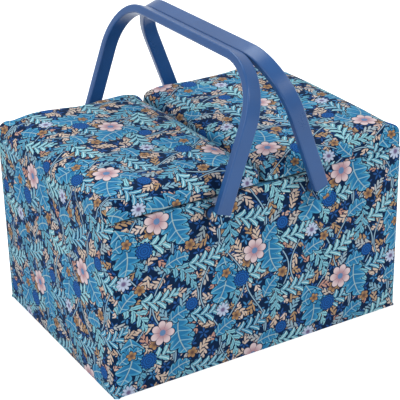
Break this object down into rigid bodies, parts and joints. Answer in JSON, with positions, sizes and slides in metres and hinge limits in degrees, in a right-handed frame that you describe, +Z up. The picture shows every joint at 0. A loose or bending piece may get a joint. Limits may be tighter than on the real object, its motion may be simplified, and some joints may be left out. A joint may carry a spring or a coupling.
{
  "type": "sewing box",
  "caption": "Cloth-covered sewing box with padded lids that open from the middle, folding carry handles and a lift-out tray.",
  "frame": {"origin": "middle of the base, on the surface that the box stands on", "axes": "+X along the box's length, +Y from the front wall to the back wall, +Z up"},
  "size_m": [0.31, 0.262, 0.286],
  "materials": {
    "printed_cloth": "woven cotton with an all-over printed pattern of flowers and leaves",
    "lining_cloth": "plain navy satin lining over thin padding",
    "base_cloth": "black non-woven backing cloth",
    "pincushion_cloth": "plain pale blue brushed cotton",
    "elastic": "ribbed woven elastic",
    "wadding": "white polyester wadding",
    "foam": "soft open-cell foam",
    "board": "raw hardboard",
    "handle_plastic": "satin moulded plastic",
    "tray_plastic": "fine-textured moulded plastic",
    "nylon": "dark blue nylon",
    "steel": "plated steel"
  },
  "bodies": {
    "case": {"front_board": "board", "back_board": "board", "left_end_board": "board", "right_end_board": "board", "base_board": "board", "body_wadding": "wadding", "body_cover": "printed_cloth", "base_cloth": "base_cloth", "front_liner": "lining_cloth", "back_liner": "lining_cloth", "left_end_liner": "lining_cloth", "right_end_liner": "lining_cloth", "floor_liner": "lining_cloth", "left_hinge_cloth": "printed_cloth", "right_hinge_cloth": "printed_cloth", "pivot_posts": "nylon", "pivot_washers": "nylon", "pivot_screws": "steel"},
    "lid_left": {"left_lid_pad": "foam", "left_lid_wadding": "wadding", "left_lid_board": "board", "left_lid_rim": "board", "left_lid_lining": "lining_cloth", "left_lid_cover": "printed_cloth", "left_lid_pincushion": "pincushion_cloth"},
    "lid_right": {"right_lid_pad": "foam", "right_lid_wadding": "wadding", "right_lid_board": "board", "right_lid_rim": "board", "right_lid_lining": "lining_cloth", "right_lid_cover": "printed_cloth", "right_lid_pocket": "lining_cloth", "right_lid_pocket_elastic": "elastic"},
    "handle_left": {"left_handle": "handle_plastic", "left_handle_front_cap": "printed_cloth", "left_handle_back_cap": "printed_cloth"},
    "handle_right": {"right_handle": "handle_plastic", "right_handle_front_cap": "printed_cloth", "right_handle_back_cap": "printed_cloth"},
    "tray": {"tray": "tray_plastic"}
  },
  "joints": [
    {"name": "left_lid_hinge", "type": "hinge", "parent": "case", "child": "lid_left", "pos_m": [-0.155, 0, 0.16975], "axis": [0, -1, 0], "range_deg": [0, 170], "deforming": ["left_hinge_cloth"]},
    {"name": "right_lid_hinge", "type": "hinge", "parent": "case", "child": "lid_right", "pos_m": [0.155, 0, 0.16975], "axis": [0, 1, 0], "range_deg": [0, 170], "deforming": ["right_hinge_cloth"]},
    {"name": "left_handle_pivot", "type": "hinge", "parent": "case", "child": "handle_left", "pos_m": [-0.0527, 0, 0.156], "axis": [0, -1, 0], "range_deg": [0, 133.5]},
    {"name": "right_handle_pivot", "type": "hinge", "parent": "case", "child": "handle_right", "pos_m": [0.0527, 0, 0.156], "axis": [0, 1, 0], "range_deg": [0, 133.5]},
    {"name": "tray_lift", "type": "slide", "parent": "case", "child": "tray", "axis": [0, 0, 1], "range_m": [0, 0.014]}
  ]
}
